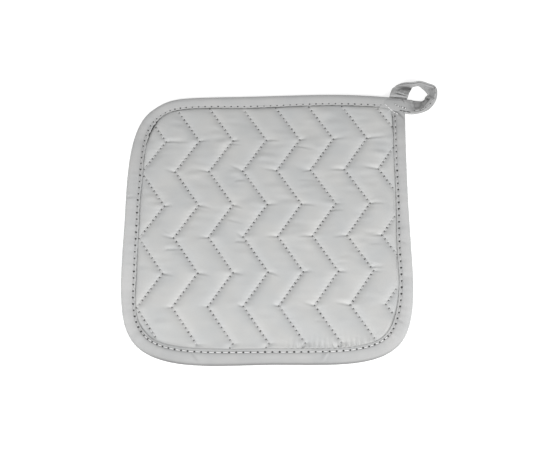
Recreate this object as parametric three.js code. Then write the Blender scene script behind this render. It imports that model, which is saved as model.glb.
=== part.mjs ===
// A square quilted pot holder, 200 mm a side, lying on its back.
// Origin: the middle of the underside. +X to the right, +Y to the edge with the hanging loop, +Z up.
import * as THREE from "three";

// Driving dimensions, in millimetres.
const GAP = 0.3; // air between two pieces
const TAPE = 1; // thickness of the binding tape under the panel
const PANEL_BOTTOM = TAPE + GAP; // the panel's pressed rim, where the binding holds it
const PANEL_TOP = 3.6;
const STITCH_TOP = 3.6; // front of the panel along a line of stitches
const CREST_TOP = 5.2; // front of the panel at the middle of a pillow
const STITCH_BACK = 0.9; // back of the panel along a line of stitches
const FOLD = 1.3; // tape thickness at its folded outer edge
const MOUTH = 0.5; // from the tape's inner edge to where the panel starts to rise
const SHOULDER = 3.5; // from the tape's inner edge to the outermost pillow points
const RISE = 2.2; // how quickly the pillows reach their height beside the binding

// The rim, clockwise from the square corner back to it. Each row is a place, the heading of the
// edge there in degrees, the reach of the curve behind and ahead of it, and the tape's width.
const RIM = [
  { x: 103, y: 94.5, heading: -93, behind: 0, ahead: 40, tape: 9 },
  { x: 100.5, y: -14, heading: -90, behind: 37, ahead: 27, tape: 9.5 },
  { x: 87.5, y: -88.5, heading: -137, behind: 20, ahead: 23, tape: 11 },
  { x: 0, y: -100, heading: 180, behind: 38, ahead: 33, tape: 10.5 },
  { x: -89, y: -85, heading: 132, behind: 25, ahead: 15, tape: 10.5 },
  { x: -99.5, y: -8, heading: 88, behind: 47, ahead: 35, tape: 10.5 },
  { x: -82.5, y: 88.5, heading: 38, behind: 24, ahead: 20, tape: 9 },
  { x: 7.5, y: 99, heading: 1, behind: 70, ahead: 40, tape: 9 },
  { x: 103, y: 94.5, heading: -6, behind: 41, ahead: 0, tape: 8.5 },
];
const RIM_STEPS = 12; // stations of the binding between two rows
const FINE_STEPS = 60; // places between two rows where the panel looks for its edge

// The zigzag quilting: stitch lines run from the loop's edge to the opposite one, a pitch apart.
const QUILT = {
  pitch: 24.18,
  period: 49.69,
  swing: 16.98,
  down: 0.52, // share of a period in which a line runs to the right
  left: -88.54, // the first line at its left turns
  top: 89.13, // the left turns nearest the loop's edge
};
const PILLOW = [0, 0.09, 0.26, 0.5, 0.74, 0.91]; // mesh columns across a pillow, as shares of a pitch
const FLAT_FROM = 0.25; // share of a pitch from a stitch line where the back lies flat
const FLANK = 0.13; // share of a pitch within which a pillow rises beside a stitch line
const FLANK_POWER = 1.3;
const FIRST_LINE = -1;
const LAST_LINE = 8;
const CORNER_ROWS = [84.6, 82, 78.5, 74, 69]; // extra mesh rows across the round corners
const LAST_ROWS = [-65, -70, -75.5, -80, -83.3, -85.3];
const ROWS_BETWEEN_TURNS = 3;
const NEAR_END = 0.8; // a column this near the end of a row joins it

// The binding's section for a tape of SECTION_TAPE: distance in from the rim, height.
const SECTION_TAPE = 10.4;
const SECTION = [
  { inward: 10.4, z: PANEL_TOP + GAP },
  { inward: 10.4, z: 4.5 },
  { inward: 8.4, z: 4.6 },
  { inward: 6.4, z: 5.2 },
  { inward: 3.2, z: 5.3 },
  { inward: 1.2, z: 4.9 },
  { inward: 0, z: 3.2 },
  { inward: 0.1, z: 1.4 },
  { inward: 1.2, z: 0 },
  { inward: 10.4, z: 0 },
  { inward: 10.4, z: TAPE },
  { inward: FOLD, z: TAPE },
  { inward: FOLD, z: PANEL_TOP + GAP },
];

// The square corner rises over the end of the loop, which is sewn behind it.
const LIFT = { height: 1.8, full: 17, none: 90 };

// The hanging loop, a tape seen as stations along it: its edge beside the hole, its outer edge,
// and its thickness.
const LOOP = [
  { hole: [103.6, 93.5, 5.7], rim: [103.5, 82.4, 5.5], thick: 2 },
  { hole: [107.6, 93.9, 3.7], rim: [107, 82.7, 4.6], thick: 2 },
  { hole: [112.3, 94, 2], rim: [111.2, 83.1, 4.6], thick: 2 },
  { hole: [117, 94.4, 1.2], rim: [116.2, 83.8, 5], thick: 2 },
  { hole: [119.6, 96, 1.2], rim: [121.1, 85.7, 6], thick: 2 },
  { hole: [120.6, 98.4, 1.2], rim: [124.3, 91, 9], thick: 2 },
  { hole: [119.5, 100.9, 1.2], rim: [126, 97.3, 9.4], thick: 2 },
  { hole: [117.2, 104.2, 1.2], rim: [125.4, 102.4, 8.3], thick: 2 },
  { hole: [115.3, 106.6, 1.2], rim: [119.6, 103.9, 10.2], thick: 2 },
  { hole: [112.6, 107.5, 1.2], rim: [114, 105.4, 11], thick: 2 },
  { hole: [110.4, 106.7, 1.2], rim: [108.7, 104.6, 11], thick: 2 },
  { hole: [108.7, 103.8, 1.2], rim: [101.2, 105.3, 7.6], thick: 2 },
  { hole: [107.3, 101, 1.3], rim: [96, 104.2, 3], thick: 1.9 },
  { hole: [105.8, 97.2, 0.9], rim: [93.6, 99.4, 1], thick: 1.5 },
  { hole: [103.4, 88.4, 0.8], rim: [91.6, 90.6, 0.8], thick: 1.5 },
];
const LOOP_STEPS = 3; // mesh steps between two stations

const smoothstep = THREE.MathUtils.smoothstep;
const radians = THREE.MathUtils.degToRad;

function lift(x, y) {
  const away = Math.hypot(x - RIM[0].x, y - RIM[0].y);
  return LIFT.height * (1 - smoothstep(away, LIFT.full, LIFT.none));
}

// Places along the rim, each with its inward direction and the tape's width there.
function rimPlaces(steps) {
  const places = [];
  for (let i = 0; i + 1 < RIM.length; i++) {
    const [a, b] = [RIM[i], RIM[i + 1]];
    const [from, to] = [radians(a.heading), radians(b.heading)];
    const curve = new THREE.CubicBezierCurve(
      new THREE.Vector2(a.x, a.y),
      new THREE.Vector2(a.x + a.ahead * Math.cos(from), a.y + a.ahead * Math.sin(from)),
      new THREE.Vector2(b.x - b.behind * Math.cos(to), b.y - b.behind * Math.sin(to)),
      new THREE.Vector2(b.x, b.y),
    );
    for (let k = 0; k < steps; k++) {
      const along = curve.getTangent(k / steps);
      places.push({
        at: curve.getPoint(k / steps),
        inward: new THREE.Vector2(along.y, -along.x),
        tape: THREE.MathUtils.lerp(a.tape, b.tape, k / steps),
      });
    }
  }
  places[0].inward.set(-1, -1); // the mitre of the square corner
  return places;
}

const inset = (place, depth) => place.at.clone().addScaledVector(place.inward, depth);

// A closed mesh from points and triangles, turned to face out.
function solid(points, triangles) {
  let volume = 0;
  for (const [a, b, c] of triangles) volume += points[a].dot(points[b].clone().cross(points[c]));
  const geometry = new THREE.BufferGeometry().setFromPoints(points);
  geometry.setIndex(triangles.flatMap(([a, b, c]) => (volume > 0 ? [a, b, c] : [a, c, b])));
  geometry.computeVertexNormals();
  return geometry;
}

// Rings of equal length joined in order; a closed run also joins the last ring to the first.
function loft(rings, closed) {
  const size = rings[0].length;
  const triangles = [];
  for (let j = 0; j < rings.length - (closed ? 0 : 1); j++) {
    const next = (j + 1) % rings.length;
    for (let i = 0; i < size; i++) {
      const [a, b] = [j * size + i, j * size + ((i + 1) % size)];
      const [c, d] = [next * size + i, next * size + ((i + 1) % size)];
      triangles.push([a, b, c], [b, d, c]);
    }
  }
  if (!closed) {
    const last = (rings.length - 1) * size;
    for (let i = 1; i + 1 < size; i++) {
      triangles.push([0, i + 1, i], [last, last + i, last + i + 1]);
    }
  }
  return solid(rings.flat(), triangles);
}

// How far a stitch line has swung to the right at y.
function swing(y) {
  const turn = THREE.MathUtils.euclideanModulo((QUILT.top - y) / QUILT.period, 1);
  const share = turn < QUILT.down ? turn / QUILT.down : (1 - turn) / (1 - QUILT.down);
  return QUILT.swing * share;
}

// Distance from the nearest stitch line, as a share of the pitch, from 0 to 0.5.
function fromStitches(x, y) {
  const share = (x - swing(y) - QUILT.left) / QUILT.pitch;
  return Math.abs(share - Math.round(share));
}

const finePlaces = rimPlaces(FINE_STEPS);

// Distance in from the binding's inner edge.
function fromTape(x, y) {
  let nearest = Infinity;
  for (const { at, tape } of finePlaces) {
    nearest = Math.min(nearest, Math.hypot(x - at.x, y - at.y) - tape);
  }
  return Math.max(nearest, 0);
}

function frontHeight(x, y) {
  const pillow = 1 - Math.exp(-((fromStitches(x, y) / FLANK) ** FLANK_POWER));
  const risen = 1 - Math.exp(-fromTape(x, y) / RISE);
  const height = STITCH_TOP + (CREST_TOP - STITCH_TOP) * pillow;
  return PANEL_TOP + (height - PANEL_TOP) * risen + lift(x, y);
}

function backHeight(x, y) {
  const groove = 1 - smoothstep(fromStitches(x, y), 0, FLAT_FROM);
  return STITCH_BACK * groove + lift(x, y);
}

// The place on the pillows' outer edge with the given x or y, among the rim places that are wanted.
function edgePlace(axis, value, wanted) {
  const depth = (place) => inset(place, place.tape + SHOULDER);
  for (let i = 0; i < finePlaces.length; i++) {
    const [a, b] = [finePlaces[i], finePlaces[(i + 1) % finePlaces.length]];
    const [from, to] = [depth(a), depth(b)];
    const share = (value - from[axis]) / (to[axis] - from[axis]);
    if (share >= 0 && share < 1 && i > 0 && wanted(from)) {
      return {
        at: a.at.clone().lerp(b.at, share),
        inward: a.inward.clone().lerp(b.inward, share).normalize(),
        tape: THREE.MathUtils.lerp(a.tape, b.tape, share),
      };
    }
  }
  throw new Error("no place on the edge");
}

const isLeft = (p) => p.x < 0;
const isRight = (p) => p.x > 0;
const isTop = (p) => p.y > 0;
const isBottom = (p) => p.y < 0;

// The heights of the mesh rows, from the loop's edge down; every turn of the zigzag has one.
function rowHeights() {
  const turns = [];
  for (let y = QUILT.top; y > -QUILT.top; y -= QUILT.period) {
    turns.push(y, y - QUILT.down * QUILT.period);
  }
  const inner = turns.filter((y) => y < CORNER_ROWS.at(-1) && y > LAST_ROWS[0]);
  const rows = [...CORNER_ROWS];
  inner.forEach((y, i) => {
    rows.push(y);
    const next = inner[i + 1];
    for (let k = 1; next !== undefined && k < ROWS_BETWEEN_TURNS; k++) {
      rows.push(THREE.MathUtils.lerp(y, next, k / ROWS_BETWEEN_TURNS));
    }
  });
  return [...rows, ...LAST_ROWS];
}

// The panel's plan: pillow points in rows that follow the zigzag, and their outer edge in order.
function panelPlan() {
  const points = [];
  const add = (x, y) => points.push(new THREE.Vector2(x, y)) - 1;
  const heights = rowHeights();
  const edges = { top: [], right: [], bottom: [], left: [] };
  const rows = heights.map((y, j) => {
    const along = j === 0 ? isTop : j === heights.length - 1 ? isBottom : null;
    const leftPlace = edgePlace("y", y, isLeft);
    const rightPlace = j === 0 ? finePlaces[0] : edgePlace("y", y, isRight);
    const [from, to] = [leftPlace, rightPlace].map((place) => inset(place, place.tape + SHOULDER));
    const left = add(from.x, from.y);
    const row = [];
    for (let line = FIRST_LINE; line <= LAST_LINE; line++) {
      for (const share of PILLOW) {
        const x = QUILT.left + (line + share) * QUILT.pitch + swing(y);
        if (x < from.x + NEAR_END) row.push(left);
        else if (x > to.x - NEAR_END) row.push(-1);
        else if (along) {
          const place = edgePlace("x", x, along);
          const at = inset(place, place.tape + SHOULDER);
          row.push(add(at.x, at.y));
          edges[j === 0 ? "top" : "bottom"].push({ index: row.at(-1), place });
        } else row.push(add(x, y));
      }
    }
    const right = add(to.x, to.y);
    edges.left.push({ index: left, place: leftPlace });
    edges.right.push({ index: right, place: rightPlace });
    return row.map((index) => (index < 0 ? right : index));
  });
  const outer = [...edges.top, ...edges.right, ...edges.bottom.reverse(), ...edges.left.reverse()];
  return { points, rows, outer };
}

function quiltedPanel() {
  const { points, rows, outer } = panelPlan();
  const front = points.map((p) => new THREE.Vector3(p.x, p.y, frontHeight(p.x, p.y)));
  const back = points.map((p) => new THREE.Vector3(p.x, p.y, backHeight(p.x, p.y)));
  const all = [...front, ...back];
  const triangles = [];
  const under = (index) => index + points.length;
  const skin = (a, b, c) => {
    if (a === b || b === c || a === c) return;
    triangles.push([a, b, c], [under(a), under(c), under(b)]);
  };
  for (let j = 0; j + 1 < rows.length; j++) {
    for (let i = 0; i + 1 < rows[j].length; i++) {
      const [a, b, c, d] = [rows[j][i], rows[j][i + 1], rows[j + 1][i], rows[j + 1][i + 1]];
      skin(a, c, b);
      skin(b, c, d);
    }
  }
  const ring = (depth, z) =>
    outer.map(({ place }) => {
      const at = inset(place, depth(place));
      return all.push(new THREE.Vector3(at.x, at.y, z + lift(at.x, at.y))) - 1;
    });
  const mouth = (place) => place.tape + MOUTH;
  const end = () => FOLD + GAP;
  const loops = [
    outer.map(({ index }) => index),
    ring(mouth, PANEL_TOP),
    ring(end, PANEL_TOP),
    ring(end, PANEL_BOTTOM),
    ring(mouth, PANEL_BOTTOM),
    outer.map(({ index }) => under(index)),
  ];
  for (let k = 0; k + 1 < loops.length; k++) {
    for (let i = 0; i < outer.length; i++) {
      const next = (i + 1) % outer.length;
      const [a, b, c, d] = [loops[k][i], loops[k][next], loops[k + 1][i], loops[k + 1][next]];
      triangles.push([a, b, c], [b, d, c]);
    }
  }
  return solid(all, triangles);
}

function binding() {
  const rings = rimPlaces(RIM_STEPS).map((place) =>
    SECTION.map(({ inward, z }) => {
      const slotEnd = inward === FOLD;
      const at = inset(place, slotEnd ? FOLD : (inward * place.tape) / SECTION_TAPE);
      return new THREE.Vector3(at.x, at.y, z + lift(at.x, at.y));
    }),
  );
  return loft(rings, true);
}

// One cross-section of the loop's tape, with rounded edges.
function tapeSection(hole, rim, along, thick) {
  const across = rim.clone().sub(hole);
  const through = new THREE.Vector3().crossVectors(along, across).setLength(thick / 2);
  const corners = [
    [0, -0.4],
    [0.08, -1],
    [0.92, -1],
    [1, -0.4],
    [1, 0.4],
    [0.92, 1],
    [0.08, 1],
    [0, 0.4],
  ];
  return corners.map(([share, side]) =>
    hole.clone().addScaledVector(across, share).addScaledVector(through, side),
  );
}

function hangingLoop() {
  const edge = (name) =>
    new THREE.CatmullRomCurve3(LOOP.map((station) => new THREE.Vector3(...station[name])));
  const [hole, rim] = [edge("hole"), edge("rim")];
  const count = (LOOP.length - 1) * LOOP_STEPS;
  const rings = [];
  for (let k = 0; k <= count; k++) {
    const t = k / count;
    const along = hole.getTangent(t).add(rim.getTangent(t));
    const station = Math.min(Math.floor(k / LOOP_STEPS), LOOP.length - 2);
    const share = k / LOOP_STEPS - station;
    const thick = THREE.MathUtils.lerp(LOOP[station].thick, LOOP[station + 1].thick, share);
    rings.push(tapeSection(hole.getPoint(t), rim.getPoint(t), along, thick));
  }
  return loft(rings, false);
}

const COATED = { color: 0xbfc1c1, roughness: 0.5, metalness: 0 };
const TAPE_CLOTH = { color: 0xb6b7b5, roughness: 0.6, metalness: 0 };

function node(name, geometry, finish) {
  const mesh = new THREE.Mesh(geometry, new THREE.MeshStandardMaterial(finish));
  mesh.name = name;
  return mesh;
}

const potHolder = new THREE.Group();
potHolder.add(
  node("quilted_panel", quiltedPanel(), COATED),
  node("binding", binding(), TAPE_CLOTH),
  node("hanging_loop", hangingLoop(), TAPE_CLOTH),
);

export default potHolder;
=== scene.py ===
import bpy
import numpy as np
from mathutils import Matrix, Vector
from mathutils.bvhtree import BVHTree
from mathutils.geometry import delaunay_2d_cdt
from mathutils.kdtree import KDTree


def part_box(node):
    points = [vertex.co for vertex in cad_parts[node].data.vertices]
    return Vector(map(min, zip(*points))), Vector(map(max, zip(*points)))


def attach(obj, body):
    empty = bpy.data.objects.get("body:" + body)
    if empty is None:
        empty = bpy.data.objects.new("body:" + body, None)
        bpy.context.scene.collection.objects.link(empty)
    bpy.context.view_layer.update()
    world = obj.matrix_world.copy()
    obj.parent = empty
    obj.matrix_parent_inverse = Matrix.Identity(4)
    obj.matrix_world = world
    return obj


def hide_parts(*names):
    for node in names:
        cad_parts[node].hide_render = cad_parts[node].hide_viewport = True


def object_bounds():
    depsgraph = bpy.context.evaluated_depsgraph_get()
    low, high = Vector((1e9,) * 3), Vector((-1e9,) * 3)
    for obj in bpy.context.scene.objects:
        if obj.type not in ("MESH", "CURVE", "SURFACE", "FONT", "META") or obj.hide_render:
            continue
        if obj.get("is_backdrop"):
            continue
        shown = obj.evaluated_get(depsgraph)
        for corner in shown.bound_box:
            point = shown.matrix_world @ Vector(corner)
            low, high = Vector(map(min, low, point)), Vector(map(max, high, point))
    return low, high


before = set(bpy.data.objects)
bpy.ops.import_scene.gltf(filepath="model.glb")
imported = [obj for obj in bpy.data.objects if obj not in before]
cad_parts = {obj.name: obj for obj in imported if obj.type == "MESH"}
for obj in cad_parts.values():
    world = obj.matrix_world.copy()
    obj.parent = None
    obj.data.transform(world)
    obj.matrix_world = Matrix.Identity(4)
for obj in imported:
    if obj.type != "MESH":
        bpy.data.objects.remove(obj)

cad_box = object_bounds()

# A quilted pot holder, 200 mm a side, lying on its back. Lengths are millimetres until a mesh is
# made: x to the right, y to the edge with the hanging loop, z up from the table.

TAPE = 1  # thickness of the binding tape
GAP = 0.3  # air between the panel and the tape round it
FOLD = 1.3  # tape thickness at its folded outer edge
PANEL_TOP = 3.6  # the panel's pressed rim, where the binding holds it
PANEL_BOTTOM = TAPE + GAP
STITCH_TOP = 3.7  # front of the panel along a line of stitches
CREST_TOP = 5.3  # front of the panel at the middle of a pillow
STITCH_BACK = 0.9  # back of the panel along a line of stitches
SHOULDER = 3.5  # from the tape's inner edge to the first ring of the pillow mesh
POINTS_APART = 0.3  # how far the points inside that ring keep from it
RIM_RINGS = (2.9, 2.35, 1.85, 1.4, 1, 0.7, 0.45, 0.25, 0.1, -0.2)  # the rings outside it
TUCK = 1.2  # from the tape's inner edge to where the panel lies flat under it
MOUTH = 0.5  # from the tape's inner edge to where the panel's back leaves the tape
RISE = 2.2  # distance over which the pillows rise beside the binding
LOW_RISE = 0.2  # the same along the edge opposite the loop

# The rim, clockwise from the square corner: x, y, heading of the edge in degrees, and reach of the
# curve behind and ahead.
RIM = (
    (103, 94.5, -93, 0, 40),
    (100.5, -14, -90, 37, 27),
    (87.5, -88.5, -137, 20, 23),
    (0, -100, 180, 38, 33),
    (-89, -85, 132, 25, 15),
    (-99.5, -8, 88, 47, 35),
    (-82.5, 88.5, 38, 24, 20),
    (7.5, 99, 1, 70, 40),
    (103, 94.5, -6, 41, 0),
)
# The tape isn't sewn on evenly: run along the rim from the square corner, width, and distance of
# the topstitching from the tape's inner edge.
TAPE_WIDTHS = (
    (0, 9.6, 1.8),
    (30, 8.7, 1.5),
    (75, 8.4, 1.5),
    (118, 9.8, 1.6),
    (135, 9.5, 1.5),
    (182, 11.4, 2.1),
    (202, 10.8, 1.8),
    (225, 10.7, 2),
    (270, 10.7, 2.4),
    (322, 11.3, 2.4),
    (368, 10.5, 1.9),
    (390, 9.2, 1.2),
    (425, 10.4, 1.5),
    (470, 10.1, 1.5),
    (488, 10.6, 1.5),
    (532, 9.4, 1.7),
    (558, 8.4, 0.7),
    (592, 8.4, 0.6),
    (620, 9.1, 0.7),
    (690, 8.4, 0.8),
    (740, 8.2, 0.9),
)
# Painted shade on the tape, darker towards the square corner and the loop's edge where less light
# falls,
# and in the groove of its topstitching: run, then the darkness at its outer fold, further in, and at
# its topstitching.
TAPE_PAINTED_SHADE = (
    (0, 0.95, 0.75, 0.6),
    (20, 0.8, 0.6, 0.6),
    (40, 0.45, 0.35, 0.35),
    (60, 0.33, 0.22, 0.35),
    (90, 0.1, 0.18, 0.35),
    (120, 0.05, 0.25, 0.35),
    (145, 0, 0.1, 0.35),
    (165, 0, 0.22, 0.35),
    (185, 0, 0.05, 0.35),
    (205, 0, 0.15, 0.35),
    (225, 0.05, 0.05, 0.35),
    (245, 0.2, 0.1, 0.65),
    (280, 0.2, 0.2, 0.65),
    (310, 0.2, 0.25, 0.65),
    (322, 0.1, 0.2, 0.65),
    (345, 0.3, 0.2, 1.3),
    (362, 0.15, 0.12, 1.4),
    (390, 0.1, 0.25, 0.35),
    (420, 0, 0.05, 0.35),
    (460, 0, 0.1, 0.35),
    (490, 0.15, 0.3, 0.35),
    (515, 0.35, 0.4, 0.9),
    (535, 0.25, 0.2, 1),
    (600, 0.25, 0.18, 1),
    (660, 0.25, 0.25, 1),
    (690, 0.4, 0.3, 1),
    (715, 0.6, 0.5, 1),
    (740, 0.6, 0.75, 1),
)
# Painted shade in the gap where the panel meets the tape: run, darkness, and reach into the panel.
EDGE_SHADES = (
    (0, 6, 0.6),
    (18, 12, 0.8),
    (34, 9, 0.6),
    (60, 9, 0.6),
    (95, 12, 0.6),
    (118, 9, 0.6),
    (156, 10, 0.6),
    (163, 14, 1),
    (170, 14, 0.8),
    (178, 7, 0.6),
    (195, 8, 0.7),
    (225, 5, 1.2),
    (240, 4, 1.8),
    (300, 4, 1.8),
    (330, 8, 1.4),
    (352, 10, 1.1),
    (364, 13, 1.1),
    (374, 12, 0.9),
    (384, 9, 0.6),
    (420, 11, 0.6),
    (440, 9, 0.6),
    (470, 11, 0.6),
    (490, 9, 0.6),
    (522, 9, 0.6),
    (531, 14, 1.2),
    (541, 14, 1.2),
    (547, 9, 0.9),
    (556, 8, 0.8),
    (570, 12, 1),
    (584, 7, 0.6),
    (596, 13, 1.1),
    (608, 5, 0.6),
    (619, 13, 1.1),
    (644, 13, 1.1),
    (650, 8, 0.8),
    (657, 13, 1.1),
    (695, 13, 1.1),
    (712, 9, 0.8),
    (750, 5, 0.6),
)
MITRE = 16  # length of rim over which the tape turns into the square corner
STATION = 0.8  # spacing of mesh stations along the rim
CURVE_STEPS = 120  # places on each of the rim's curves, before they are spaced evenly

# The topstitching along the tape.
TOPSTITCH = 4.8
TAPE_SEAM = 4.15  # front of the binding along its topstitching
STITCHES_FROM = 13.9  # from the square corner to the first topstitch
STITCHES_TO = 17.4  # and from the last topstitch to the square corner
LOW_STITCHES = -80  # the topstitches whose y is less get a paler copy of the thread, a painted highlight

# The zigzag quilting: stitch lines run from the loop's edge to the opposite one, a pitch apart.
PITCH = 24.18
PERIOD = 49.69
SWING = 16.98
DOWN = 0.52  # share of a period in which a line runs to the right
FIRST_LEFT = -88.54  # the first line at its left turns
FIRST_TOP = 89.13  # the left turns nearest the loop's edge
LINES = range(-1, 9)  # one beyond the panel at either side, for the mesh beside it
PERIODS = 4  # enough to cross the panel
STITCHES = 9  # stitches in a run from one turn to the next
ROWS_A_STITCH = 5  # mesh rows
BACK_ROWS_A_STITCH = 2
COLUMNS = (0, 0.35, 0.75, 1.2, 1.9, 3, 4.4, 6, 7.8, 9.7, PITCH / 2)  # from a stitch line
BACK_COLUMNS = (0, 0.8, 2, 4.5, 8, PITCH / 2)
FLANK = 2.6  # distance over which a pillow rises beside a stitch line
FLANK_POWER = 1.3
PUCKER = 3.35  # pitch of the puckers that the stitches draw into the cloth
HOLE_REACH = 0.55  # how far from a needle hole the cloth is drawn down

# Creases that leave a turn of a stitch line: line, turn counted from the loop's edge, length,
# rise of the far end, depth. Those at odd turns run to the right, the others to the left.
TURN_CREASES = (
    (0, 1, 18.5, -1.4, 0.6),
    (1, 1, 7.5, 0.4, 0.4),
    (2, 1, 4.4, 0, 0.55),
    (3, 1, 12.8, -1.2, 0.4),
    (4, 1, 5.3, 0.5, 0.4),
    (5, 1, 9.3, 0, 0.4),
    (6, 1, 15, 0.6, 0.6),
    (1, 2, 8, 1.6, 0.4),
    (2, 2, 9.4, 1.2, 0.4),
    (3, 2, 10, 4.4, 0.4),
    (4, 2, 10.5, 1.3, 0.4),
    (5, 2, 7.6, -1.5, 0.4),
    (6, 2, 11.8, -0.2, 0.6),
    (7, 2, 11.6, 1.5, 0.6),
    (0, 3, 6.2, -0.3, 0.4),
    (1, 3, 10.2, -2.8, 0.4),
    (2, 3, 8, -3, 0.4),
    (3, 3, 9.1, -0.2, 0.4),
    (4, 3, 11.6, -1.6, 0.4),
    (6, 3, 12.6, -0.6, 0.45),
    (1, 4, 9.6, 1.7, 0.4),
    (2, 4, 8.6, -0.5, 0.4),
    (3, 4, 5, 2.9, 0.4),
    (4, 4, 9.7, -0.2, 0.4),
    (5, 4, 11.6, -0.4, 0.5),
    (6, 4, 10.7, -1.1, 0.4),
    (7, 4, 12.6, -0.4, 0.5),
    (0, 5, 8, -1.9, 0.4),
    (1, 5, 9.2, -2.2, 0.4),
    (2, 5, 7.7, -2, 0.4),
    (3, 5, 8.2, -2.9, 0.4),
    (4, 5, 6.1, 0, 0.4),
    (5, 5, 6.6, -1, 0.4),
    (1, 6, 5.5, -1.2, 0.2),
    (3, 6, 5, 1.3, 0.4),
    (4, 6, 4.8, 0.6, 0.4),
    (5, 6, 8.6, 1.7, 0.4),
    (6, 6, 11.7, 1.6, 0.5),
)
# Creases that lie free on a pillow: x, y, length, rise, depth.
FREE_CREASES = (
    (-24.5, 60.6, 8.6, -1.3, 0.3),
    (23.8, 57.8, 12, -2.8, 0.4),
    (24.6, 31.8, 12.8, -0.9, 0.2),
    (-21, 31.8, 8.6, 0.2, 0.4),
    (46, 8.7, 9.8, -0.2, 0.4),
    (-26.6, 2.3, 12, -3.1, 0.3),
    (73.7, 17, 5, -0.5, 0.2),
    (-70.5, -5.9, 5, -1.5, 0.2),
    (-69.5, -19.1, 10.5, 0.6, 0.6),
    (-21, -13.6, 8.4, -0.8, 0.55),
    (69.6, -9.5, 9.8, 2, 0.4),
    (70.6, -16.8, 11.8, -0.2, 0.2),
    (49.3, -30.3, 8.3, -0.1, 0.2),
    (72.5, -33.2, 8.3, -0.8, 0.6),
    (74.5, -36.4, 3.5, 0, 0.2),
    (32.9, -71, 6.1, 0, 0.2),
)
CREASE_WIDTH = 0.75

# How far the panel dips beside the binding: everywhere, more along the loop's edge, and more in
# the round corner beyond it.
EDGE_GAP = 0.25
LOOP_EDGE_GAP = 0.35
CORNER_GAP = 1.2
ROUND_CORNER = (-84, 73)

# Seams and folds that cross the binding: from x, y to x, y, depth (a ridge where negative).
TAPE_CREASES = (
    (-51, -91.5, -44.5, -99.6, 0.35),
    (41, -91.5, 36, -99.8, -0.8),
    (93.5, -15.5, 98, -18, 0.3),
    (-99.5, 19.5, -90.5, 20.5, 0.35),
    (88, -71, 92, -74, 0.3),
    (94.6, 84.9, 102, 76.4, 0.9),
    (98.4, 83.8, 102.6, 78.8, -0.5),
)
TAPE_CREASE_WIDTH = 0.6
TAPE_FRONT = (3.9, 4.3)  # heights between which the tape's lip becomes its front

# Small gathers along the edge opposite the loop.
GATHER_PITCH = 3.5
GATHER_SPAN = (8, 82)  # where they begin and end along x
GATHER_DEPTH = 0.95
GATHER_REACH = 3.4  # distance from the binding over which they fade

# The square corner rises over the end of the loop, which is sewn behind it.
SQUARE_CORNER = RIM[0][:2]
LIFT = 1.8
LIFT_FULL = 17  # distance from the corner within which it is lifted in full
LIFT_NONE = 90  # and beyond which it isn't


def smoothstep(value, low, high):
    share = np.clip((value - low) / (high - low), 0, 1)
    return share * share * (3 - 2 * share)


def fading(distance, reach):
    """A share that falls from 1 as the distance grows."""
    return np.exp(-distance / reach)


def bell(distance, width):
    """A share that is 1 at no distance and falls away softly on both sides."""
    return np.exp(-((distance / width) ** 2))


def waves(x, y, shortest, longest, seed):
    """A soft uneven field from -1 to 1 or so, made of waves between two lengths."""
    dice = np.random.default_rng(seed)
    count = 14
    total = np.zeros(np.shape(x))
    for length in np.geomspace(shortest, longest, count):
        heading, phase = dice.uniform(0, 2 * np.pi, 2)
        run = x * np.cos(heading) + y * np.sin(heading)
        total = total + np.sin(2 * np.pi * run / length + phase)
    return total / np.sqrt(count)


def unit(vectors):
    return vectors / np.linalg.norm(vectors, axis=-1, keepdims=True)


def run_along(line):
    """Distance along a line of places at each of them."""
    return np.concatenate(([0], np.cumsum(np.linalg.norm(np.diff(line, axis=0), axis=1))))


def on_curve(before, here, after, later, t):
    """A place a share t of the way from here to after, on a smooth curve through all four."""
    return (
        (-0.5 * t + t**2 - 0.5 * t**3) * before
        + (1 - 2.5 * t**2 + 1.5 * t**3) * here
        + (0.5 * t + 2 * t**2 - 1.5 * t**3) * after
        + (-0.5 * t**2 + 0.5 * t**3) * later
    )


def eased(at, table):
    """Values of a table's columns at some places, eased from one row to the next."""
    places, *columns = np.array(table, float).T
    row = np.clip(np.searchsorted(places, at, side="right") - 1, 0, len(places) - 2)
    share = smoothstep(at, places[row], places[row + 1])
    return [column[row] + (column[row + 1] - column[row]) * share for column in columns]


# The rim and the fields that follow it.


def heading_vector(degrees):
    return np.array((np.cos(np.radians(degrees)), np.sin(np.radians(degrees))))


def right_of(going):
    return np.stack((going[..., 1], -going[..., 0]), axis=-1)


def rim_curves():
    """Places along the rim's curves, each with the way that the rim goes there."""
    rows = []
    share = np.linspace(0, 1, CURVE_STEPS, endpoint=False)[:, None]
    rest = 1 - share
    for (*start, heading, _, ahead), (*end, next_heading, behind, _) in zip(RIM, RIM[1:]):
        start, end = np.array(start), np.array(end)
        leave = start + ahead * heading_vector(heading)
        arrive = end - behind * heading_vector(next_heading)
        at = rest**3 * start + 3 * rest**2 * share * leave
        at = at + 3 * rest * share**2 * arrive + share**3 * end
        going = rest**2 * (leave - start) + 2 * rest * share * (arrive - leave)
        going = unit(going + share**2 * (end - arrive))
        rows.append(np.hstack((at, going)))
    *last, heading, _, _ = RIM[-1]
    rows.append(np.hstack((last, heading_vector(heading)))[None])
    return np.vstack(rows)


def rim_line(spacing):
    """Even stations round the rim: points, inward directions, and run from the square corner."""
    line = rim_curves()
    arc = run_along(line[:, :2])
    stations = np.linspace(0, arc[-1], round(arc[-1] / spacing), endpoint=False)
    even = np.stack([np.interp(stations, arc, column) for column in line.T], axis=1)
    first, final = right_of(line[0, 2:]), right_of(line[-1, 2:])
    near_start = np.clip(1 - stations / MITRE, 0, 1)[:, None]
    near_end = np.clip(1 - (arc[-1] - stations) / MITRE, 0, 1)[:, None]
    inward = unit(right_of(even[:, 2:])) + near_start * final + near_end * first
    return even[:, :2], inward, stations


RIM_AT, RIM_INWARD, RIM_RUN = rim_line(STATION)
RIM_LENGTH = RIM_RUN[-1] + RIM_RUN[1]
RIM_TAPE, RIM_STITCH = eased(RIM_RUN, TAPE_WIDTHS)

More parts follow.
